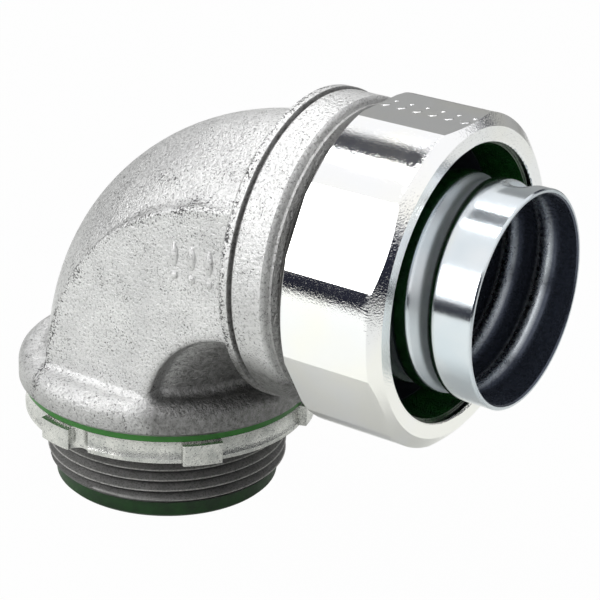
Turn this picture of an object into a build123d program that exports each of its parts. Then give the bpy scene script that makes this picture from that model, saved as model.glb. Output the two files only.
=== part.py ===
from build123d import *
import math
import os

# Right-angle connector for liquid-tight flexible metal conduit, trade size 1-1/2.
# Millimetres. Z is the axis of the threaded hub, X is the axis of the gland,
# and the origin is on the hub axis at the underside of the hub flange.

# Trade size: the hub thread and the conduit both have the outside diameter of the pipe
pipe_diameter = 48.26
conduit_wall = 3.85

# Hub and its flange
hub_length = 17.3
hub_end_chamfer = 1.0
flange_reach = 5.57
flange_height = 6.3
flange_rounding = 3.0
flange_bottom_chamfer = 0.6
flange_blend = 1.5

# Quarter bend with a flat pad on each side
bend_radius = 33.1
bend_start_height = 3.2
shell_inset = 0.23
wall = 3.0
pad_proud = 0.1
pad_reach_out = 12.1
pad_reach_in = 13.2
pad_root_radius = 1.8
pad_rim_radius = 0.8

# Collar, threaded neck and conduit socket
neck_wall = 2.45
neck_length = 14.1
collar_step = 2.57
collar_length = 9.3
collar_lip_width = 2.0
collar_groove_depth = 0.9
collar_groove_width = 0.85
collar_band_drop = 0.4
collar_edge = 0.5
neck_step_height = 1.0
neck_step_length = 1.1
neck_end_chamfer = 0.8
socket_depth = 10.0

# Gland nut
nut_standoff = 4.6
nut_wall = 2.82
nut_corner_reach = 1.0
nut_back_chamfer = 0.5
nut_front_chamfer = 1.7
nut_lip = 1.5
nut_lip_rounding = 0.4
nut_mouth_play = 1.47
nut_face_width = 2.9
nut_turn = 1.7

# Seal ring behind the nut's lip
ring_length = 8.1
ring_back_chamfer = 1.0
ring_mouth_step = 0.4

# Ferrule with its rolled thread
ferrule_reach = 12.0
ferrule_gauge = 1.0
roll_pitch = 7.2
roll_depth = 1.2
roll_groove_radius = 2.0
roll_turns = 2.0
roll_margin = 4.9

# Gasket and locknut under the flange
gasket_thickness = 1.4
gasket_inset = 1.2
locknut_height = 4.5
locknut_waist = 0.4
locknut_lip = 0.8
lug_count = 6
lug_angle = 15.0
lug_centre_angle = 320.7
lug_reach = 1.4
lug_drop = 0.3
lug_rounding = 0.4
scallop_angle = 272.0
scallop_radius = 2.0
scallop_depth = 1.0

# Insulated throat
throat_wall = 1.6
throat_collar_height = 3.7
throat_collar_inset = 1.43
throat_rounding = 0.9
throat_top = 1.5

# Clearances
thread_clearance = 0.1
slip_clearance = 0.3
seat_gap = 0.05
liner_clearance = 0.05

# Derived sizes: radii about the hub and the gland
hub_radius = pipe_diameter / 2
conduit_radius = pipe_diameter / 2
shell_radius = hub_radius - shell_inset
passage_radius = shell_radius - wall
flange_radius = hub_radius + flange_reach
pad_half = shell_radius + pad_proud
socket_radius = conduit_radius + slip_clearance
neck_radius = socket_radius + neck_wall
collar_radius = neck_radius + collar_step
nut_bore_radius = neck_radius + thread_clearance
nut_flat_radius = neck_radius + nut_wall
nut_corner_radius = nut_flat_radius + nut_corner_reach
nut_mouth_radius = conduit_radius + nut_mouth_play
nut_face_radius = nut_mouth_radius + nut_face_width
ferrule_radius = conduit_radius - conduit_wall - slip_clearance
ferrule_bore_radius = ferrule_radius - ferrule_gauge
gasket_radius = flange_radius - gasket_inset
locknut_radius = gasket_radius
lug_radius = locknut_radius + lug_reach
throat_radius = passage_radius - throat_wall

# Derived places along the gland, in order from the bend
gland_height = bend_radius + bend_start_height
collar_start = bend_radius
collar_end = collar_start + collar_length
neck_end = collar_end + neck_length
socket_floor = neck_end - socket_depth
nut_back = collar_end + nut_standoff
ring_back = neck_end + slip_clearance
ring_front = ring_back + ring_length
nut_lip_back = ring_front + thread_clearance
nut_front = nut_lip_back + nut_lip
ferrule_end = nut_front + ferrule_reach
roll_front = ferrule_end - roll_margin

bend_axis = Axis((bend_radius, 0, bend_start_height), (0, 1, 0))
gland_axis = Axis((0, 0, gland_height), (1, 0, 0))
gland_plane = Plane(origin=(0, 0, gland_height), x_dir=(0, 1, 0), z_dir=(1, 0, 0))
gland_section = Plane(origin=(0, 0, gland_height), x_dir=(1, 0, 0), z_dir=(0, -1, 0))

# Elbow body: one casting from the hub to the end of the neck
with BuildPart() as elbow_body:
    # quarter bend
    with BuildSketch(Plane.XY.offset(bend_start_height)):
        Circle(shell_radius)
    revolve(axis=bend_axis, revolution_arc=90)
    # flat side pads that follow the bend
    with BuildSketch(Plane.XZ):
        with Locations((bend_radius, bend_start_height)):
            Circle(bend_radius + pad_reach_out)
            Circle(bend_radius - pad_reach_in, mode=Mode.SUBTRACT)
            Rectangle(
                2 * bend_radius,
                2 * bend_radius,
                align=(Align.MAX, Align.MIN),
                mode=Mode.INTERSECT,
            )
    extrude(amount=pad_half, both=True)
    arcs = elbow_body.edges().filter_by(GeomType.CIRCLE)
    off_middle = arcs.filter_by(lambda arc: abs(arc.center().Y) > shell_radius / 2)
    fillet(off_middle.filter_by(lambda arc: abs(arc.center().Y) < pad_half - pad_proud), pad_root_radius)
    arcs = elbow_body.edges().filter_by(GeomType.CIRCLE)
    fillet(arcs.filter_by(lambda arc: abs(arc.center().Y) > pad_half - pad_proud), pad_rim_radius)
    # round-topped hub flange, blended into the bend and the pads
    with BuildSketch(Plane.XZ):
        with BuildLine():
            flange_side = (flange_radius, flange_height - flange_rounding)
            flange_top = (flange_radius - flange_rounding, flange_height)
            Polyline(
                flange_side,
                (flange_radius, flange_bottom_chamfer),
                (flange_radius - flange_bottom_chamfer, 0),
                (0, 0),
                (0, flange_height),
                flange_top,
            )
            TangentArc(flange_side, flange_top, tangent=(0, 1))
        make_face()
    revolve(axis=Axis.Z)
    creases = elbow_body.edges(Select.NEW).filter_by(GeomType.CIRCLE, reverse=True)
    creases = creases.filter_by_position(Axis.Z, flange_side[1], flange_height)
    # the blend has to end on the flat land between the inside of the bend and the rounding
    inside_rise = flange_height - bend_start_height
    inside_foot = bend_radius - math.sqrt((bend_radius - shell_radius) ** 2 - inside_rise**2)
    flange_land = flange_top[0] - inside_foot
    fillet(creases, min(flange_blend, flange_land * 2 / 3))
    # collar and neck turned about the gland axis
    with BuildSketch(gland_section):
        with BuildLine():
            band_radius = collar_radius - collar_band_drop
            groove_start = collar_start + collar_lip_width
            groove_end = groove_start + collar_groove_width
            step_radius = neck_radius + neck_step_height
            step_start = collar_end + neck_step_length
            Polyline(
                (collar_start, 0),
                (collar_start, collar_radius - collar_edge),
                (collar_start + collar_edge, collar_radius),
                (groove_start, collar_radius),
                (groove_start + collar_groove_width / 3, collar_radius - collar_groove_depth),
                (groove_end - collar_groove_width / 3, collar_radius - collar_groove_depth),
                (groove_end, band_radius),
                (collar_end - collar_edge, band_radius),
                (collar_end, band_radius - collar_edge),
                (step_start - collar_edge, step_radius),
                (step_start, step_radius),
                (step_start + neck_step_height, neck_radius),
                (neck_end - neck_end_chamfer, neck_radius),
                (neck_end, neck_radius - neck_end_chamfer),
                (neck_end, 0),
                (collar_start, 0),
            )
        make_face()
    revolve(axis=gland_axis)
    # threaded hub, drawn at the crest of the thread
    with BuildSketch(Plane.XY):
        Circle(hub_radius)
    extrude(amount=-hub_length)
    chamfer(elbow_body.faces().sort_by(Axis.Z)[0].outer_wire().edges(), hub_end_chamfer)
    # passage for the wires and socket for the conduit
    with BuildSketch(Plane.XY.offset(-hub_length)):
        Circle(passage_radius)
    extrude(amount=hub_length + bend_start_height, mode=Mode.SUBTRACT)
    with BuildSketch(Plane.XY.offset(bend_start_height)):
        Circle(passage_radius)
    revolve(axis=bend_axis, revolution_arc=90, mode=Mode.SUBTRACT)
    with BuildSketch(gland_plane.offset(bend_radius)):
        Circle(passage_radius)
    extrude(amount=neck_end - bend_radius, mode=Mode.SUBTRACT)
    with BuildSketch(gland_plane.offset(socket_floor)):
        Circle(socket_radius)
    extrude(amount=socket_depth, mode=Mode.SUBTRACT)
elbow_body.part.label = "elbow_body"

# Insulated throat: a liner pushed into the hub, with a collar below its end
with BuildPart() as throat_liner:
    with BuildSketch(Plane.XZ):
        with BuildLine():
            liner_radius = passage_radius - liner_clearance
            throat_collar_radius = hub_radius - throat_collar_inset
            throat_end = -hub_length - throat_collar_height
            Polyline(
                (throat_radius + throat_rounding, throat_end),
                (throat_collar_radius - throat_rounding, throat_end),
                (throat_collar_radius - throat_rounding / 3, throat_end + throat_rounding * 2 / 3),
                (throat_collar_radius, -hub_length),
                (liner_radius, -hub_length),
                (liner_radius, -throat_top),
                (throat_radius + throat_rounding / 2, -throat_top + throat_rounding),
                (throat_radius, -throat_top),
                (throat_radius, throat_end + throat_rounding),
                (throat_radius + throat_rounding, throat_end),
            )
        make_face()
    revolve(axis=Axis.Z)
throat_liner.part.label = "throat_liner"

# Gasket under the hub flange
with BuildPart() as face_gasket:
    with BuildSketch(Plane.XY.offset(-seat_gap)):
        Circle(gasket_radius)
        Circle(hub_radius + slip_clearance, mode=Mode.SUBTRACT)
    extrude(amount=-gasket_thickness)
face_gasket.part.label = "face_gasket"

# Locknut: a waisted ring with lugs for a driver, and a scallop beside one of them
with BuildPart() as locknut:
    locknut_top = -2 * seat_gap - gasket_thickness
    locknut_bottom = locknut_top - locknut_height
    locknut_bore_radius = hub_radius + thread_clearance
    with BuildSketch(Plane.XZ):
        with BuildLine():
            lip_top = (locknut_radius, locknut_bottom + locknut_lip)
            top_corner = (locknut_radius, locknut_top)
            waist = (locknut_radius - locknut_waist, (lip_top[1] + locknut_top) / 2)
            ThreePointArc(lip_top, waist, top_corner)
            Polyline(
                top_corner,
                (locknut_bore_radius, locknut_top),
                (locknut_bore_radius, locknut_bottom),
                (locknut_radius, locknut_bottom),
                lip_top,
            )
        make_face()
    revolve(axis=Axis.Z)
    with BuildSketch(Plane.XY.offset(locknut_bottom)):
        lug_width = 2 * lug_radius * math.sin(math.radians(lug_angle / 2))
        with PolarLocations(0, lug_count, start_angle=lug_centre_angle):
            Rectangle(lug_radius, lug_width, align=(Align.MIN, Align.CENTER))
        Circle(lug_radius, mode=Mode.INTERSECT)
        Circle(locknut_bore_radius, mode=Mode.SUBTRACT)
    extrude(amount=locknut_height - lug_drop)
    upright_edges = locknut.edges().filter_by(Axis.Z)
    lug_corners = upright_edges.filter_by(
        lambda edge: math.hypot(edge.center().X, edge.center().Y) > lug_radius - lug_drop
    )
    fillet(lug_corners, lug_rounding)
    with BuildSketch(Plane.XY.offset(locknut_top)):
        with PolarLocations(locknut_radius + scallop_radius - scallop_depth, 1, start_angle=scallop_angle):
            Circle(scallop_radius)
    extrude(amount=-locknut_height, mode=Mode.SUBTRACT)
locknut.part.label = "locknut"

# Gland nut: six wrench flats with turned corners, a chamfered face and a lip at the mouth
with BuildPart() as gland_nut:
    with BuildSketch(gland_plane.offset(nut_back)):
        RegularPolygon(nut_flat_radius, 6, major_radius=False, rotation=nut_turn)
        Circle(nut_corner_radius, mode=Mode.INTERSECT)
    extrude(amount=nut_front - nut_back)
    # turned chamfers at both ends
    with BuildSketch(gland_section):
        with BuildLine():
            Polyline(
                (nut_back, 0),
                (nut_back, nut_corner_radius - nut_back_chamfer),
                (nut_back + nut_back_chamfer, nut_corner_radius),
                (nut_front - nut_front_chamfer, nut_corner_radius),
                (nut_front, nut_face_radius),
                (nut_front, 0),
                (nut_back, 0),
            )
        make_face()
    revolve(axis=gland_axis, mode=Mode.INTERSECT)
    with BuildSketch(gland_plane.offset(nut_back)):
        Circle(nut_bore_radius)
    extrude(amount=nut_lip_back - nut_back, mode=Mode.SUBTRACT)
    with BuildSketch(gland_plane.offset(nut_lip_back)):
        Circle(nut_mouth_radius)
    extrude(amount=nut_lip, mode=Mode.SUBTRACT)
    fillet(gland_nut.faces().sort_by(Axis.X)[-1].inner_wires()[0].edges(), nut_lip_rounding)
gland_nut.part.label = "gland_nut"

# Seal ring: a wedge ring between the end of the neck and the lip of the nut
with BuildPart() as seal_ring:
    with BuildSketch(gland_section):
        with BuildLine():
            ring_radius = nut_bore_radius - slip_clearance
            ring_back_radius = socket_radius + thread_clearance
            Polyline(
                (ring_back, ring_back_radius),
                (ring_front, nut_mouth_radius - ring_mouth_step),
                (ring_front, ring_radius),
                (ring_back + ring_back_chamfer, ring_radius),
                (ring_back, ring_radius - ring_back_chamfer),
                (ring_back, ring_back_radius),
            )
        make_face()
    revolve(axis=gland_axis)
seal_ring.part.label = "seal_ring"

# Ferrule: a sheet tube with a rolled thread, seated by its flange in the socket
with BuildPart() as ferrule:
    roll_centre = ferrule_radius - roll_depth + roll_groove_radius
    roll_length = roll_pitch * roll_turns
    with BuildLine() as roll_path:
        Helix(
            pitch=roll_pitch,
            height=roll_length,
            radius=roll_centre,
            center=(roll_front - roll_length, 0, gland_height),
            direction=(1, 0, 0),
        )
    roll_plane = Plane(origin=roll_path.line @ 0, z_dir=roll_path.line % 0)
    # the rolled groove shows as a ridge inside the tube
    with BuildSketch(roll_plane):
        Circle(roll_groove_radius + ferrule_gauge)
    sweep(path=roll_path.line, is_frenet=True)
    with BuildSketch(gland_plane.offset(socket_floor)):
        Circle(ferrule_radius - ferrule_gauge / 2)
    extrude(amount=ferrule_end - socket_floor, mode=Mode.INTERSECT)
    # tube and seat flange
    with BuildSketch(gland_section):
        with BuildLine():
            seat_front = socket_floor + ferrule_gauge
            seat_radius = socket_radius - slip_clearance
            Polyline(
                (socket_floor, ferrule_bore_radius),
                (socket_floor, seat_radius),
                (seat_front, seat_radius),
                (seat_front, ferrule_radius),
                (ferrule_end, ferrule_radius),
                (ferrule_end, ferrule_bore_radius),
                (socket_floor, ferrule_bore_radius),
            )
        make_face()
    revolve(axis=gland_axis)
    with BuildSketch(roll_plane):
        Circle(roll_groove_radius)
    sweep(path=roll_path.line, is_frenet=True, mode=Mode.SUBTRACT)
ferrule.part.label = "ferrule"

os.makedirs("parts", exist_ok=True)
export_step(elbow_body.part, "parts/elbow_body.step")
export_step(throat_liner.part, "parts/throat_liner.step")
export_step(face_gasket.part, "parts/face_gasket.step")
export_step(locknut.part, "parts/locknut.step")
export_step(gland_nut.part, "parts/gland_nut.step")
export_step(seal_ring.part, "parts/seal_ring.step")
export_step(ferrule.part, "parts/ferrule.step")
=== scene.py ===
import math

import bmesh
import bpy
from mathutils import Matrix, Vector


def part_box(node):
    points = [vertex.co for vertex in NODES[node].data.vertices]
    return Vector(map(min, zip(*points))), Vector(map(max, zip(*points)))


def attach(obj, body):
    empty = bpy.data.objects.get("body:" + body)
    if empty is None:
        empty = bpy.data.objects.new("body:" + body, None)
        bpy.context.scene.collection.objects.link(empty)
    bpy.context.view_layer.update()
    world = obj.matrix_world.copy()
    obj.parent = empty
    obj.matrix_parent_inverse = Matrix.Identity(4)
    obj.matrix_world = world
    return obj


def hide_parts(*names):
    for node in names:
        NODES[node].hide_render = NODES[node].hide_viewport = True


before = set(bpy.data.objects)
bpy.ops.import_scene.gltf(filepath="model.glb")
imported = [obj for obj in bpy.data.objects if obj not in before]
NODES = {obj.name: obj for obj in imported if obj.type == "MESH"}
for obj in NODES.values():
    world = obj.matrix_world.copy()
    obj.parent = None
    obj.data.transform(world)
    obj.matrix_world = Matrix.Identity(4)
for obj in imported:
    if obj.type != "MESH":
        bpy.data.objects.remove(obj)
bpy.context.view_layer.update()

MM = 0.001

# Hub thread
HUB_END = -17.3 * MM
HUB_RADIUS = 24.13 * MM
HUB_PITCH = 25.4 / 11.5 * MM
HUB_DEPTH = 1.77 * MM

# Neck thread under the gland nut
NECK_START = 44.5 * MM
NECK_END = 56.5 * MM
NECK_RADIUS = 26.88 * MM
NECK_PITCH = 1.8 * MM
NECK_DEPTH = 0.95 * MM

# Both threads: chamfered at the free end, over a casting that is turned down below their roots
THREAD_CHAMFER = 1.0 * MM
THREAD_GAP = 0.05 * MM
TURNED_BELOW_ROOTS = 0.2 * MM
END_BELOW_ROOTS = 0.6 * MM

# How far a vertex of the casting may lie from where it is looked for
TOUCHING = 0.01 * MM
ON_CYLINDER = 0.05 * MM
BEFORE_NECK = 0.1 * MM

# Bend and gland axis
BEND_RADIUS = 33.1 * MM
BEND_START = 3.2 * MM
GLAND_HEIGHT = BEND_RADIUS + BEND_START
PASSAGE_REACH = 24.6 * MM
NECK_INSIDE = 55.0 * MM
PAD_FACE = -24.0 * MM
PAD_RIM = 44.7 * MM
COLLAR_BACK = 33.6 * MM
COLLAR_GROOVE = 35.53 * MM
COLLAR_FRONT = 42.4 * MM

# Axes: a point on each, and 1 for the directions across it
HUB_AXIS = ((0, 0, 0), (1, 1, 0))
GLAND_AXIS = ((0, 0, GLAND_HEIGHT), (0, 1, 1))
BEND_AXIS = ((BEND_RADIUS, 0, BEND_START), (1, 0, 1))

# Ferrule: a sheet tube with a rolled groove of two turns, which runs out over a share of a turn
FERRULE_BACK, FERRULE_FRONT = (corner.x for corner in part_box("ferrule"))
FERRULE_RADIUS = 19.98 * MM
FERRULE_GAUGE = 1.0 * MM
FERRULE_RIM = 0.3 * MM
SEAT_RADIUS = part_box("ferrule")[1].y
ROLL_START = 59.2 * MM
ROLL_PITCH = 7.2 * MM
ROLL_TURNS = 2
ROLL_DEPTH = 0.9 * MM
ROLL_HALF_WIDTH = 3.0 * MM
ROLL_RUNOUT = 1 / 30

# Gland nut, and the marks on its top flat: half length, half width and rise of each
NUT_BACK, NUT_FRONT = (corner.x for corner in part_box("gland_nut"))
NUT_FLAT_RADIUS = 29.7 * MM
NUT_TURN = 1.7
NUT_MARKS = 6
NUT_MARK_START = 1.05 * MM
NUT_MARK_STEP = 3.2 * MM
NUT_MARK_SUNK = 0.02 * MM
NUT_MARK_ASIDE = 0.3 * MM
NUT_OVAL = (0.9 * MM, 1.2 * MM, 0.16 * MM)
NUT_DOT = (0.5 * MM, 0.6 * MM, 0.12 * MM)
NUT_DOT_ALONG = 0.6 * MM
NUT_DOT_ASIDE = 2.6 * MM

# Marks on the pad: half length, half height and rise of each
PAD_MARKS = 3
PAD_MARK_START = 19.5 * MM
PAD_MARK_STEP = 3.9 * MM
PAD_MARK_HEIGHT = 37.6 * MM
PAD_MARK_SUNK = 0.1 * MM
PAD_BAR = (0.95 * MM, 2.4 * MM, 0.6 * MM)
PAD_DOT = (0.9 * MM, 0.9 * MM, 0.6 * MM)
PAD_DOT_DROP = 4.0 * MM

# Floor, and the point that the lamps aim at
FLOOR_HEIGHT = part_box("throat_liner")[0].z
FLOOR_REACH = 0.9
MIRRORED_REACH = 0.32
MIRRORED_LIFT = 0.1 * MM
MIDDLE_X = 0.03
LAMP_TARGET = (MIDDLE_X, 0, 0.03)

# Camera, as solved from the photograph
CAMERA_PLACE = (225.03 * MM, -293.08 * MM, 172.15 * MM)
CAMERA_AZIMUTH = 33.495
CAMERA_ELEVATION = 22.887
CAMERA_ROLL = 2.11
CAMERA_LENS = 121.5
SENSOR_WIDTH = 36.0


# Material helpers

class Shader:
    """A node material with a Principled shader, and short calls for the nodes that feed it."""

    def __init__(self, name):
        self.material = bpy.data.materials.new(name)
        self.material.use_nodes = True
        self.tree = self.material.node_tree
        self.bsdf = self.tree.nodes["Principled BSDF"]
        self.place = self.tree.nodes.new("ShaderNodeTexCoord").outputs["Object"]

    def set(self, **values):
        """Even values for the shader's inputs."""
        for name, value in values.items():
            self.bsdf.inputs[name].default_value = value

    def join(self, source, target):
        self.tree.links.new(source, target)

    def feed(self, source, name):
        self.join(source, self.bsdf.inputs[name])

    def stretched(self, scale):
        """Place scaled along each axis; under 1 draws a noise out along that axis."""
        node = self.tree.nodes.new("ShaderNodeMapping")
        node.inputs["Scale"].default_value = scale
        self.join(self.place, node.inputs["Vector"])
        return node.outputs["Vector"]

    def noise(self, size, detail=2.0, roughness=0.5, place=None):
        """Noise whose lumps are about `size` metres across."""
        node = self.tree.nodes.new("ShaderNodeTexNoise")
        node.inputs["Scale"].default_value = 1 / size
        node.inputs["Detail"].default_value = detail
        node.inputs["Roughness"].default_value = roughness
        self.join(place or self.place, node.inputs["Vector"])
        return node.outputs["Fac"]

    def reach(self, centre, across):
        """Distance in metres from an axis through `centre`; `across` is 0 along the axis, else 1."""
        node = self.tree.nodes.new("ShaderNodeVectorMath")
        node.operation = "MULTIPLY_ADD"
        node.inputs[1].default_value = across
        node.inputs[2].default_value = [-side * keep for side, keep in zip(centre, across)]
        self.join(self.place, node.inputs[0])
        length = self.tree.nodes.new("ShaderNodeVectorMath")
        length.operation = "LENGTH"
        self.join(node.outputs["Vector"], length.inputs[0])
        return length.outputs["Value"]

    def along(self, axis):
        """Place along "X", "Y" or "Z", in metres."""
        node = self.tree.nodes.new("ShaderNodeSeparateXYZ")
        self.join(self.place, node.inputs[0])
        return node.outputs[axis]

    def gap(self, source, value):
        """How far `source` is from `value`."""
        return self.math("ABSOLUTE", self.math("SUBTRACT", source, value), 0.0)

    def ramp(self, source, low, high, from_value=0.0, to_value=1.0):
        """Goes from `from_value` to `to_value` as `source` goes from `low` to `high`, and stays there."""
        node = self.tree.nodes.new("ShaderNodeMapRange")
        node.inputs["From Min"].default_value = low
        node.inputs["From Max"].default_value = high
        node.inputs["To Min"].default_value = from_value
        node.inputs["To Max"].default_value = to_value
        self.join(source, node.inputs["Value"])
        return node.outputs["Result"]

    def math(self, operation, first, second):
        node = self.tree.nodes.new("ShaderNodeMath")
        node.operation = operation
        for socket, value in zip(node.inputs, (first, second)):
            if isinstance(value, (int, float)):
                socket.default_value = value
            else:
                self.join(value, socket)
        return node.outputs["Value"]

    def mix(self, factor, first, second):
        node = self.tree.nodes.new("ShaderNodeMix")
        node.data_type = "RGBA"
        self.join(factor, node.inputs["Factor"])
        for socket, value in zip((node.inputs[6], node.inputs[7]), (first, second)):
            if isinstance(value, tuple):
                socket.default_value = (*value, 1.0)
            else:
                self.join(value, socket)
        return node.outputs[2]

    def bump(self, height, depth, strength=1.0, after=None):
        """Bump `depth` metres deep; `after` is another bump's normal."""
        node = self.tree.nodes.new("ShaderNodeBump")
        node.inputs["Distance"].default_value = depth
        node.inputs["Strength"].default_value = strength
        self.join(height, node.inputs["Height"])
        if after is not None:
            self.join(after, node.inputs["Normal"])
        return node.outputs["Normal"]


# Materials

def cast_zinc():
    """Cast malleable iron with matte zinc plating: sandy grain, dark specks, and painted shade in
    corners.
    """
    shader = Shader("cast_zinc")
    tone = shader.noise(7 * MM, 4.0, 0.6)
    coarse = shader.noise(1.1 * MM, 3.0, 0.6)
    grain = shader.noise(0.5 * MM, 3.0, 0.65)
    fine = shader.noise(0.22 * MM, 2.0, 0.5)
    colour = shader.mix(shader.ramp(tone, 0.3, 0.7), (0.66, 0.66, 0.66), (0.80, 0.80, 0.795))
    colour = shader.mix(shader.ramp(grain, 0.30, 0.48), (0.36, 0.36, 0.36), colour)
    # specks lie in patches, and closer together along the pads' rims and the collar's back edge
    from_bend = shader.reach(*BEND_AXIS)
    along = shader.along("X")
    near_rim = shader.ramp(shader.gap(from_bend, PAD_RIM), 1.9 * MM, 0.3 * MM, 0.0, 0.09)
    near_rim = shader.math("MULTIPLY", near_rim, shader.ramp(along, COLLAR_BACK, COLLAR_BACK - 1 * MM))
    near_collar = shader.ramp(shader.gap(along, COLLAR_BACK), 1.4 * MM, 0.3 * MM, 0.0, 0.11)
    patches = shader.ramp(shader.noise(5 * MM, 2.0, 0.6), 0.35, 0.70, -0.04, 0.05)
    nearness = shader.math("ADD", patches, shader.math("MAXIMUM", near_rim, near_collar))
    specks = shader.math("ADD", shader.noise(0.42 * MM, 3.0, 0.7), nearness)
    colour = shader.mix(shader.ramp(specks, 0.60, 0.67), colour, (0.08, 0.08, 0.08))
    # painted shade: darker inside the bend, in the collar's groove, behind the nut and low on the flange
    inside_bend = shader.ramp(from_bend, 22 * MM, 17 * MM, 0.0, 0.78)
    in_groove = shader.ramp(shader.gap(along, COLLAR_GROOVE), 0.55 * MM, 0.30 * MM, 0.0, 0.75)
    behind_nut = shader.ramp(along, COLLAR_FRONT - 0.4 * MM, COLLAR_FRONT + 0.2 * MM, 0.0, 0.5)
    painted_shade = shader.ramp(shader.along("Z"), 6.5 * MM, 0.5 * MM, 0.0, 0.50)
    for place in (inside_bend, in_groove, behind_nut):
        painted_shade = shader.math("MAXIMUM", painted_shade, place)
    painted_shade = shader.math("MULTIPLY", painted_shade, shader.ramp(coarse, 0.25, 0.6, 1.15, 0.85))
    # the painted shade pulls the colour towards near-black where its mask is high
    colour = shader.mix(painted_shade, colour, (0.07, 0.068, 0.065))
    shader.feed(colour, "Base Color")
    shader.feed(shader.ramp(grain, 0.3, 0.7, 0.34, 0.52), "Roughness")
    shader.set(Metallic=0.88)
    rough = shader.bump(coarse, 0.45 * MM, 0.45)
    rough = shader.bump(grain, 0.30 * MM, 0.8, rough)
    shader.feed(shader.bump(fine, 0.08 * MM, 0.6, rough), "Normal")
    return shader.material


def passage_painted_shade():
    """The bore of the casting, bare, with near-black colour painted in as the shade inside it."""
    shader = Shader("passage_painted_shade")
    tone = shader.noise(3 * MM, 4.0, 0.6)
    # near-black colours paint the shade inside the bore
    colour = shader.mix(shader.ramp(tone, 0.35, 0.65), (0.010, 0.012, 0.018), (0.030, 0.032, 0.040))
    shader.feed(colour, "Base Color")
    shader.feed(shader.ramp(tone, 0.3, 0.7, 0.45, 0.6), "Roughness")
    shader.feed(shader.bump(shader.noise(0.5 * MM, 3.0), 0.05 * MM, 0.4), "Normal")
    return shader.material


def cut_thread_steel(name, axis, radius, depth):
    """A machined thread: dull grainy iron, with painted shade in its roots and a painted highlight along
    its crests.
    """
    shader = Shader(name)
    grain = shader.noise(0.35 * MM, 3.0, 0.6)
    stain = shader.noise(4 * MM, 4.0, 0.65)
    colour = shader.mix(shader.ramp(stain, 0.3, 0.7), (0.21, 0.208, 0.204), (0.30, 0.297, 0.290))
    colour = shader.mix(shader.ramp(grain, 0.30, 0.55), (0.13, 0.128, 0.125), colour)
    reach = shader.reach(*axis)
    # painted shade: darker towards the thread's roots
    painted_root_shade = shader.ramp(reach, radius - 0.7 * depth, radius - depth, 0.0, 0.7)
    colour = shader.mix(painted_root_shade, colour, (0.05, 0.05, 0.05))
    # painted highlight: brighter along the top of the thread, broken up by the grain
    painted_crest_highlight = shader.ramp(reach, radius - 0.16 * depth, radius - 0.05 * depth)
    painted_crest_highlight = shader.math("MULTIPLY", painted_crest_highlight, shader.ramp(grain, 0.35, 0.55, 0.4, 1.0))
    shader.feed(shader.mix(painted_crest_highlight, colour, (0.75, 0.74, 0.72)), "Base Color")
    shader.feed(shader.ramp(grain, 0.3, 0.7, 0.40, 0.55), "Roughness")
    shader.set(Metallic=0.5)
    shader.feed(shader.bump(grain, 0.06 * MM, 0.5), "Normal")
    return shader.material


def locknut_zinc():
    """The locknut's cast steel under thick bright zinc: smoother than the casting, with pits."""
    shader = Shader("locknut_zinc")
    tone = shader.noise(3 * MM, 3.0, 0.6)
    grain = shader.noise(0.45 * MM, 3.0, 0.6)
    pits = shader.ramp(shader.noise(0.36 * MM, 3.0, 0.7), 0.58, 0.66)
    colour = shader.mix(shader.ramp(tone, 0.35, 0.65), (0.48, 0.49, 0.47), (0.68, 0.68, 0.65))
    colour = shader.mix(pits, colour, (0.16, 0.16, 0.17))
    shader.feed(colour, "Base Color")
    shader.feed(shader.ramp(grain, 0.3, 0.7, 0.18, 0.34), "Roughness")
    shader.set(Metallic=0.95)
    shader.feed(shader.bump(grain, 0.14 * MM, 0.6), "Normal")
    return shader.material


def bright_zinc():
    """The nut's bright zinc: a faint tint, fine frosting, and streaks where its rim is turned."""
    shader = Shader("bright_zinc")
    tint = shader.noise(12 * MM, 1.0, 0.5)
    frost = shader.noise(0.34 * MM, 2.0, 0.6)
    peel = shader.noise(1.6 * MM, 2.0, 0.5)
    streaks = shader.noise(0.35 * MM, 2.0, 0.6, shader.stretched((0.08, 1.0, 1.0)))
    turned = shader.ramp(shader.along("X"), NUT_FRONT - 3.0 * MM, NUT_FRONT - 2.2 * MM)
    colour = shader.mix(shader.ramp(tint, 0.38, 0.62), (0.97, 0.965, 0.925), (0.95, 0.955, 0.965))
    shader.feed(colour, "Base Color")
    shader.feed(shader.ramp(frost, 0.3, 0.7, 0.04, 0.10), "Roughness")
    shader.set(Metallic=1.0)
    rough = shader.bump(frost, 0.030 * MM, 0.7)
    rough = shader.bump(peel, 0.010 * MM, 0.5, rough)
    streaked = shader.math("MULTIPLY", streaks, turned)
    shader.feed(shader.bump(streaked, 0.06 * MM, 0.8, rough), "Normal")
    return shader.material


def blue_zinc():
    """The ferrule's clear blue zinc over rolled sheet, duller in the groove that the roll left."""
    shader = Shader("blue_zinc")
    tint = shader.noise(9 * MM, 2.0, 0.5)
    peel = shader.noise(0.9 * MM, 2.0, 0.5)
    frost = shader.noise(0.14 * MM, 2.0, 0.6)
    colour = shader.mix(shader.ramp(tint, 0.35, 0.65), (0.68, 0.75, 0.80), (0.78, 0.82, 0.85))
    shader.feed(colour, "Base Color")
    gland_reach = shader.reach(*GLAND_AXIS)
    in_groove = shader.ramp(gland_reach, FERRULE_RADIUS - 0.12 * MM, FERRULE_RADIUS - 0.45 * MM)
    dulled = shader.math("MULTIPLY", in_groove, 0.25)
    shader.feed(shader.math("ADD", shader.ramp(frost, 0.3, 0.7, 0.08, 0.18), dulled), "Roughness")
    shader.feed(shader.math("SUBTRACT", 1.0, dulled), "Metallic")
    soft = shader.bump(peel, 0.012 * MM, 0.5)
    shader.feed(shader.bump(frost, 0.005 * MM, 0.5, soft), "Normal")
    return shader.material


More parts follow.
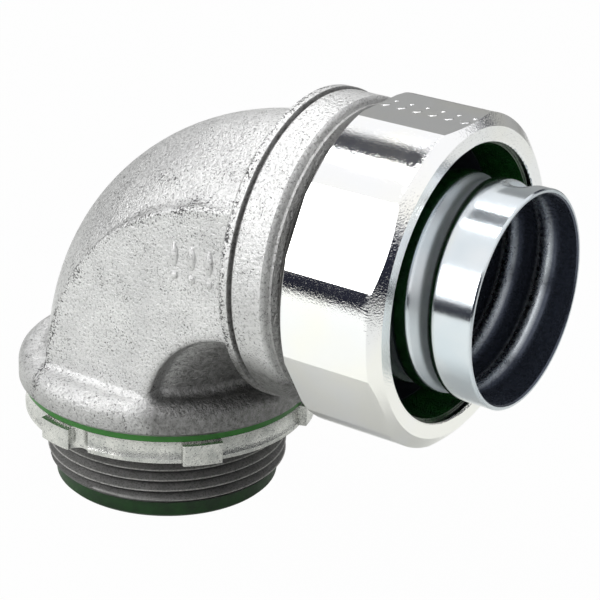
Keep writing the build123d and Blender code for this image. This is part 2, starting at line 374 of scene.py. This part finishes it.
def ferrule_inside_painted_light():
    """The inside of the ferrule: painted near-black as shade between the ridges, with a painted highlight
    on their crests.
    """
    shader = Shader("ferrule_inside_painted_light")
    peel = shader.noise(0.9 * MM, 2.0, 0.5)
    wall = FERRULE_RADIUS - FERRULE_GAUGE
    gland_reach = shader.reach(*GLAND_AXIS)
    painted_crest_highlight = shader.ramp(gland_reach, wall - 0.32 * MM, wall - 0.75 * MM)
    # painted shade in dark blue-grey between the ridges, and a painted near-white highlight on their tops
    shader.feed(shader.mix(painted_crest_highlight, (0.10, 0.115, 0.155), (0.84, 0.89, 0.94)), "Base Color")
    shader.feed(shader.ramp(peel, 0.3, 0.7, 0.22, 0.34), "Roughness")
    shader.feed(shader.math("MAXIMUM", painted_crest_highlight, 0.6), "Metallic")
    shader.feed(shader.bump(peel, 0.012 * MM, 0.5), "Normal")
    return shader.material


def green_nylon(name, deep, light, roughness):
    """Moulded green plastic: slight mottling, a soft sheen and a little moulding grain."""
    shader = Shader(name)
    tone = shader.noise(3 * MM, 3.0, 0.6)
    grain = shader.noise(0.25 * MM, 2.0, 0.5)
    shader.feed(shader.mix(shader.ramp(tone, 0.35, 0.65), deep, light), "Base Color")
    shader.feed(shader.ramp(grain, 0.3, 0.7, roughness - 0.06, roughness + 0.06), "Roughness")
    shader.feed(shader.bump(grain, 0.01 * MM, 0.4), "Normal")
    return shader.material


def dress(node, *materials):
    """Gives a piece its materials, in the order of its material slots."""
    node.data.materials.clear()
    for material in materials:
        node.data.materials.append(material)


# Camera, lamps and stage

def make_camera():
    azimuth = math.radians(CAMERA_AZIMUTH)
    elevation = math.radians(CAMERA_ELEVATION)
    roll = math.radians(CAMERA_ROLL)
    forward = Vector((
        -math.sin(azimuth) * math.cos(elevation),
        math.cos(azimuth) * math.cos(elevation),
        -math.sin(elevation),
    ))
    level = forward.cross(Vector((0, 0, 1))).normalized()
    upright = level.cross(forward)
    right = math.cos(roll) * level + math.sin(roll) * upright
    up = math.cos(roll) * upright - math.sin(roll) * level
    data = bpy.data.cameras.new("camera")
    data.lens = CAMERA_LENS
    data.sensor_width = SENSOR_WIDTH
    data.clip_start = 0.01
    data.clip_end = 50
    camera = bpy.data.objects.new("camera", data)
    turn = Matrix((right, up, -forward)).transposed().to_4x4()
    camera.matrix_world = Matrix.Translation(CAMERA_PLACE) @ turn
    bpy.context.scene.collection.objects.link(camera)
    bpy.context.scene.camera = camera


def see_white(tree, plain, white, share):
    """Mixes in a share of white where the surface is seen or mirrored; what it lights stays plain."""
    path = tree.nodes.new("ShaderNodeLightPath")
    total = None
    for ray in ("Is Camera Ray", "Is Glossy Ray", "Is Transmission Ray"):
        part = tree.nodes.new("ShaderNodeMath")
        part.operation = "MULTIPLY_ADD"
        part.inputs[1].default_value = share
        part.inputs[2].default_value = 0.0
        tree.links.new(path.outputs[ray], part.inputs[0])
        if total is not None:
            tree.links.new(total, part.inputs[2])
        total = part.outputs[0]
    mix = tree.nodes.new("ShaderNodeMixShader")
    for socket, source in zip(mix.inputs, (total, plain, white)):
        tree.links.new(source, socket)
    return mix.outputs[0]


def make_world():
    """White where it is seen or mirrored, and a dimmer, cooler light on the object."""
    world = bpy.data.worlds.new("studio")
    world.use_nodes = True
    bpy.context.scene.world = world
    tree = world.node_tree
    plain = tree.nodes["Background"]
    plain.inputs["Color"].default_value = (0.95, 0.97, 1.0, 1.0)
    plain.inputs["Strength"].default_value = 0.35
    white = tree.nodes.new("ShaderNodeBackground")
    white.inputs["Color"].default_value = (1, 1, 1, 1)
    surface = see_white(tree, plain.outputs[0], white.outputs[0], 1.0)
    tree.links.new(surface, tree.nodes["World Output"].inputs["Surface"])


def flat_material(name, colour, glow=0.0):
    """Matte card in one colour, which may glow in it."""
    material = bpy.data.materials.new(name)
    material.use_nodes = True
    shader = material.node_tree.nodes["Principled BSDF"]
    shader.inputs["Base Color"].default_value = (*colour, 1.0)
    shader.inputs["Roughness"].default_value = 0.9
    shader.inputs["Emission Color"].default_value = (*colour, 1.0)
    shader.inputs["Emission Strength"].default_value = glow
    return material


def add_card(name, points, faces, material):
    """Puts a mesh in the scene as part of the stage."""
    mesh = bpy.data.meshes.new(name)
    mesh.from_pydata(points, [], faces)
    mesh.materials.append(material)
    card = bpy.data.objects.new(name, mesh)
    bpy.context.scene.collection.objects.link(card)
    return card


def only_mirrored(card):
    """Leaves a card to reflections alone: it isn't seen, lights nothing and casts no shadow."""
    card.visible_camera = False
    card.visible_diffuse = False
    card.visible_shadow = False


def make_plate(name, centre, half_length, half_width, material):
    """A level rectangle about `centre`."""
    x, y, z = centre
    corners = []
    for along, across in ((-1, -1), (1, -1), (1, 1), (-1, 1)):
        corners.append((x + along * half_length, y + across * half_width, z))
    return add_card(name, corners, [(0, 1, 2, 3)], material)


def floor_material(name, colour, share):
    """Matte floor in one colour, with a share of white where it is seen or mirrored."""
    material = bpy.data.materials.new(name)
    material.use_nodes = True
    tree = material.node_tree
    plain = tree.nodes["Principled BSDF"]
    plain.inputs["Base Color"].default_value = (*colour, 1.0)
    plain.inputs["Roughness"].default_value = 0.8
    white = tree.nodes.new("ShaderNodeEmission")
    surface = see_white(tree, plain.outputs[0], white.outputs[0], share)
    tree.links.new(surface, tree.nodes["Material Output"].inputs["Surface"])
    return material


def make_floor():
    """A wide floor, and a smaller one just above it that only the plating reflects."""
    pale = floor_material("floor_pale", (0.30, 0.30, 0.30), 0.985)
    floor = make_plate("floor", (MIDDLE_X, 0, FLOOR_HEIGHT), FLOOR_REACH, FLOOR_REACH, pale)
    floor.visible_glossy = False
    white = floor_material("mirrored_white", (0.92, 0.93, 0.89), 0.15)
    centre = (MIDDLE_X, 0, FLOOR_HEIGHT + MIRRORED_LIFT)
    only_mirrored(make_plate("mirrored_floor", centre, MIRRORED_REACH, MIRRORED_REACH, white))


def make_arc_card(name, reach, start, end, low, high, material):
    """An upright strip round the object, between two bearings in degrees from +X."""
    steps = 24
    points = []
    for step in range(steps + 1):
        bearing = math.radians(start + (end - start) * step / steps)
        for height in (low, high):
            points.append((reach * math.cos(bearing), reach * math.sin(bearing), height))
    faces = [(2 * n, 2 * n + 2, 2 * n + 3, 2 * n + 1) for n in range(steps)]
    return add_card(name, points, faces, material)


def make_flags():
    """Dark and grey cards that the plating reflects; the camera doesn't see them."""
    black = flat_material("flag_black", (0.010, 0.012, 0.03))
    grey = flat_material("flag_grey", (0.40, 0.40, 0.39), 0.40)
    # reach in metres, bearings of both ends in degrees, heights of both edges in metres
    flags = [
        make_arc_card("low_flag", 0.65, -165, -20, -0.12, 0.07, black),
        make_arc_card("right_flag", 0.70, -45, 60, -0.10, 0.25, black),
        make_arc_card("corner_flag", 0.72, 60, 86, 0.24, 0.52, black),
        make_arc_card("back_flag", 0.75, 60, 150, -0.10, 0.65, grey),
        make_arc_card("left_flag", 0.70, 150, 215, -0.10, 0.50, grey),
        make_plate("high_flag", (-0.235, 0.062, 0.55), 0.5, 0.088, black),
    ]
    for flag in flags:
        only_mirrored(flag)


def make_lamp(name, place, size, power):
    """A white soft box that looks at the object."""
    data = bpy.data.lights.new(name, "AREA")
    data.shape = "RECTANGLE"
    data.size, data.size_y = size
    data.energy = power
    lamp = bpy.data.objects.new(name, data)
    aim = Vector(LAMP_TARGET) - Vector(place)
    lamp.matrix_world = Matrix.Translation(place) @ aim.to_track_quat("-Z", "Y").to_matrix().to_4x4()
    bpy.context.scene.collection.objects.link(lamp)


def make_lamps():
    make_lamp("top_lamp", (-0.10, 0.06, 0.62), (0.36, 0.30), 2.8)
    make_lamp("front_lamp", (-0.35, -0.55, 0.28), (0.40, 0.30), 1.8)


# Pieces

def add_piece(name, mesh, body):
    """Puts a mesh in the scene as a piece that rides a body."""
    piece = bpy.data.objects.new(name, mesh)
    bpy.context.scene.collection.objects.link(piece)
    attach(piece, body)
    return piece


def finish_mesh(name, work, sharp_angle=40):
    """Turns bmesh work into a smooth mesh whose edges over `sharp_angle` degrees stay sharp."""
    bmesh.ops.remove_doubles(work, verts=work.verts, dist=0.001 * MM)
    bmesh.ops.recalc_face_normals(work, faces=work.faces)
    mesh = bpy.data.meshes.new(name)
    work.to_mesh(mesh)
    work.free()
    mesh.polygons.foreach_set("use_smooth", [True] * len(mesh.polygons))
    mesh.set_sharp_from_angle(angle=math.radians(sharp_angle))
    return mesh


def add_grid(work, rows, closed=True):
    """Faces between rows of points; each row is a ring when `closed`."""
    grid = [[work.verts.new(point) for point in row] for row in rows]
    sides = len(rows[0]) if closed else len(rows[0]) - 1
    for lower, upper in zip(grid, grid[1:]):
        for side in range(sides):
            after = (side + 1) % len(lower)
            work.faces.new((lower[side], lower[after], upper[after], upper[side]))


def turn_down(vertex, axis, radius, depth, near_end):
    """Moves a vertex on a threaded cylinder, or on its end, in under the thread's roots."""
    reach = (vertex.co - axis).length
    under = radius - depth - TURNED_BELOW_ROOTS
    if abs(reach - radius) < ON_CYLINDER or near_end and reach > under:
        vertex.co = axis + (vertex.co - axis) * (under / reach)


def make_threaded_casting():
    """The casting's own mesh, with the hub and the neck turned down for their cut threads."""
    mesh = NODES["elbow_body"].data.copy()
    work = bmesh.new()
    work.from_mesh(mesh)
    for vertex in work.verts:
        x, y, z = vertex.co
        if z < TOUCHING:
            axis = Vector((0, 0, z))
            near_end = z < HUB_END + THREAD_CHAMFER + TOUCHING
            turn_down(vertex, axis, HUB_RADIUS, HUB_DEPTH, near_end)
        elif x > NECK_START - BEFORE_NECK:
            axis = Vector((x, 0, GLAND_HEIGHT))
            near_end = x > NECK_END - THREAD_CHAMFER - TOUCHING
            turn_down(vertex, axis, NECK_RADIUS, NECK_DEPTH, near_end)
    work.to_mesh(mesh)
    work.free()
    casting = add_piece("casting", mesh, "body")
    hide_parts("elbow_body")
    return casting


def dress_casting(casting, outside, inside):
    """Faces that look at the passage get the material painted near-black as shade, the rest the cast one.
    """
    dress(casting, outside, inside)
    bend = Vector((BEND_RADIUS, 0, BEND_START))
    for face in casting.data.polygons:
        centre = face.center
        if centre.z < bend.z:
            axis = Vector((0, 0, centre.z))
        elif centre.x > bend.x:
            axis = Vector((centre.x, 0, GLAND_HEIGHT))
        else:
            out = Vector((centre.x - bend.x, 0, centre.z - bend.z)).normalized()
            axis = bend + out * BEND_RADIUS
        inward = face.normal.dot(axis - centre) > 0
        if centre.x > NECK_INSIDE or inward and (axis - centre).length < PASSAGE_REACH:
            face.material_index = 1


def add_thread(name, radius, depth, pitch, length, place):
    """A cut V thread; `place` gives the point at a distance from the free end, a reach and a turn."""
    around = 240
    rows_a_pitch = 8
    rows = []
    for row in range(math.ceil(length / pitch * rows_a_pitch) + rows_a_pitch + 1):
        cut = depth * abs(row % rows_a_pitch * 2 / rows_a_pitch - 1)
        ring = []
        for side in range(around + 1):
            turn = side / around
            along = (row / rows_a_pitch - 1 + turn) * pitch
            along = min(max(along, 0), length)
            reach = min(radius - cut, radius - THREAD_CHAMFER + along)
            ring.append(place(along, reach, turn))
        rows.append(ring)
    work = bmesh.new()
    add_grid(work, rows, closed=False)
    # flat end inside the thread
    rim = []
    for reach in (radius - depth - END_BELOW_ROOTS, radius - THREAD_CHAMFER):
        rim.append([place(0, reach, side / around) for side in range(around)])
    add_grid(work, rim)
    return add_piece(name, finish_mesh(name, work, 60), "body")


def hub_point(along, reach, turn):
    angle = 2 * math.pi * turn
    return (reach * math.cos(angle), reach * math.sin(angle), HUB_END + along)


def neck_point(along, reach, turn):
    angle = -2 * math.pi * turn
    return (NECK_END - along, reach * math.cos(angle), GLAND_HEIGHT + reach * math.sin(angle))


def make_threads():
    """The hub's pipe thread and the neck's thread for the nut, both right-hand."""
    hub_length = -THREAD_GAP - HUB_END
    hub = add_thread("hub_thread", HUB_RADIUS, HUB_DEPTH, HUB_PITCH, hub_length, hub_point)
    dress(hub, cut_thread_steel("hub_steel", HUB_AXIS, HUB_RADIUS, HUB_DEPTH))
    neck_length = NECK_END - NECK_START
    neck = add_thread("neck_thread", NECK_RADIUS, NECK_DEPTH, NECK_PITCH, neck_length, neck_point)
    dress(neck, cut_thread_steel("neck_steel", GLAND_AXIS, NECK_RADIUS, NECK_DEPTH))


def roll_dent(along, angle):
    """Depth of the ferrule's rolled groove at a place along it and an angle from its top."""
    deepest = 0.0
    for turn in range(-1, ROLL_TURNS + 1):
        wound = angle / (2 * math.pi) + turn
        fade = min(max(min(wound, ROLL_TURNS - wound) / ROLL_RUNOUT, 0), 1)
        offset = abs(along - ROLL_START - wound * ROLL_PITCH) / ROLL_HALF_WIDTH
        if offset < 1:
            deepest = max(deepest, ROLL_DEPTH * fade * (0.5 + 0.5 * math.cos(math.pi * offset)))
    return deepest


def make_rolled_ferrule():
    """The ferrule with a softly rolled groove: the ridge inside follows the groove outside."""
    around = 180
    step = 0.35 * MM
    bore = FERRULE_RADIUS - FERRULE_GAUGE
    seat_front = FERRULE_BACK + FERRULE_GAUGE
    front = FERRULE_FRONT - FERRULE_RIM
    count = round((front - seat_front) / step)
    tube = [seat_front + (front - seat_front) * n / count for n in range(count + 1)]
    profile = [(FERRULE_BACK, bore), (FERRULE_BACK, SEAT_RADIUS), (seat_front, SEAT_RADIUS)]
    profile += [(along, FERRULE_RADIUS) for along in tube]
    profile += [
        (FERRULE_FRONT, FERRULE_RADIUS - FERRULE_RIM),
        (FERRULE_FRONT, bore + FERRULE_RIM),
    ]
    profile += [(along, bore) for along in reversed(tube)]
    profile.append((FERRULE_BACK, bore))
    rows = []
    for along, reach in profile:
        ring = []
        for side in range(around):
            angle = 2 * math.pi * side / around
            place = reach - (roll_dent(along, angle) if reach <= FERRULE_RADIUS else 0)
            turned = angle + math.pi / 2
            ring.append((along, place * math.cos(turned), GLAND_HEIGHT + place * math.sin(turned)))
        rows.append(ring)
    work = bmesh.new()
    add_grid(work, rows)
    ferrule = add_piece("rolled_ferrule", finish_mesh("rolled_ferrule", work), "body")
    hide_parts("ferrule")
    return ferrule


def dress_ferrule(ferrule, outside, inside):
    """The bore and the seat flange get the inside material, painted dark as shade with painted highlights
    on the ridges.
    """
    dress(ferrule, outside, inside)
    seat_end = FERRULE_BACK + 1.5 * FERRULE_GAUGE
    for face in ferrule.data.polygons:
        centre = face.center
        away = Vector((0, centre.y, centre.z - GLAND_HEIGHT))
        looks_inward = face.normal.dot(away) < -0.3 * away.length
        if centre.x < seat_end or looks_inward:
            face.material_index = 1


def add_dome(work, centre, axes, size):
    """A low oval dome about `centre`, with its half length, half width and rise along three axes."""
    along, across, up = (axis * reach for axis, reach in zip(axes, size))
    rings = 5
    around = 20
    rows = []
    for ring in range(rings):
        tilt = math.pi / 2 * ring / rings
        row = []
        for side in range(around):
            angle = 2 * math.pi * side / around
            flat = along * math.cos(angle) + across * math.sin(angle)
            row.append(centre + flat * math.cos(tilt) + up * math.sin(tilt))
        rows.append(row)
    add_grid(work, rows)
    top = work.verts.new(centre + up)
    last = [work.verts.new(point) for point in rows[-1]]
    for side in range(around):
        work.faces.new((last[side], last[(side + 1) % around], top))


def make_nut_marks():
    """A row of plain raised marks on the nut's top flat: ovals with a dot beside each."""
    tilt = math.radians(90 + NUT_TURN)
    along = Vector((1, 0, 0))
    across = Vector((0, math.sin(tilt), -math.cos(tilt)))
    up = Vector((0, math.cos(tilt), math.sin(tilt)))
    work = bmesh.new()
    for mark in range(NUT_MARKS):
        centre = Vector((NUT_BACK + NUT_MARK_START + mark * NUT_MARK_STEP, 0, GLAND_HEIGHT))
        centre += up * (NUT_FLAT_RADIUS - NUT_MARK_SUNK) + across * NUT_MARK_ASIDE
        add_dome(work, centre, (along, across, up), NUT_OVAL)
        dot = centre + along * NUT_DOT_ALONG + across * NUT_DOT_ASIDE
        add_dome(work, dot, (along, across, up), NUT_DOT)
    return add_piece("nut_marks", finish_mesh("nut_marks", work), "nut")


def make_pad_marks():
    """Plain casting marks on the pad: three short upright bars with a dot under each."""
    axes = (Vector((1, 0, 0)), Vector((0, 0, 1)), Vector((0, -1, 0)))
    work = bmesh.new()
    for mark in range(PAD_MARKS):
        along = PAD_MARK_START + mark * PAD_MARK_STEP
        bar = Vector((along, PAD_FACE + PAD_MARK_SUNK, PAD_MARK_HEIGHT))
        add_dome(work, bar, axes, PAD_BAR)
        add_dome(work, bar - Vector((0, 0, PAD_DOT_DROP)), axes, PAD_DOT)
    return add_piece("pad_marks", finish_mesh("pad_marks", work), "body")


def build():
    cast = cast_zinc()
    nut_plating = bright_zinc()
    dress_casting(make_threaded_casting(), cast, passage_painted_shade())
    make_threads()
    dress(make_pad_marks(), cast)
    gasket_green = green_nylon("green_nylon", (0.025, 0.19, 0.018), (0.040, 0.25, 0.028), 0.42)
    ring_green = green_nylon("deep_green_nylon", (0.004, 0.035, 0.006), (0.008, 0.065, 0.009), 0.28)
    # painted shade: the liner's green is a much darker copy of the gasket's, for the shadow it sits in
    # low under the hub
    liner_green_painted_shade = green_nylon("throat_nylon_painted_shade", (0.004, 0.036, 0.005), (0.009, 0.07, 0.009), 0.35)
    dress(NODES["face_gasket"], gasket_green)
    dress(NODES["seal_ring"], ring_green)
    dress(NODES["throat_liner"], liner_green_painted_shade)
    dress(NODES["locknut"], locknut_zinc())
    dress(NODES["gland_nut"], nut_plating)
    dress(make_nut_marks(), nut_plating)
    dress_ferrule(make_rolled_ferrule(), blue_zinc(), ferrule_inside_painted_light())


build()
make_world()
make_floor()
make_flags()
make_lamps()
make_camera()

bpy.context.scene.view_settings.view_transform = "Standard"
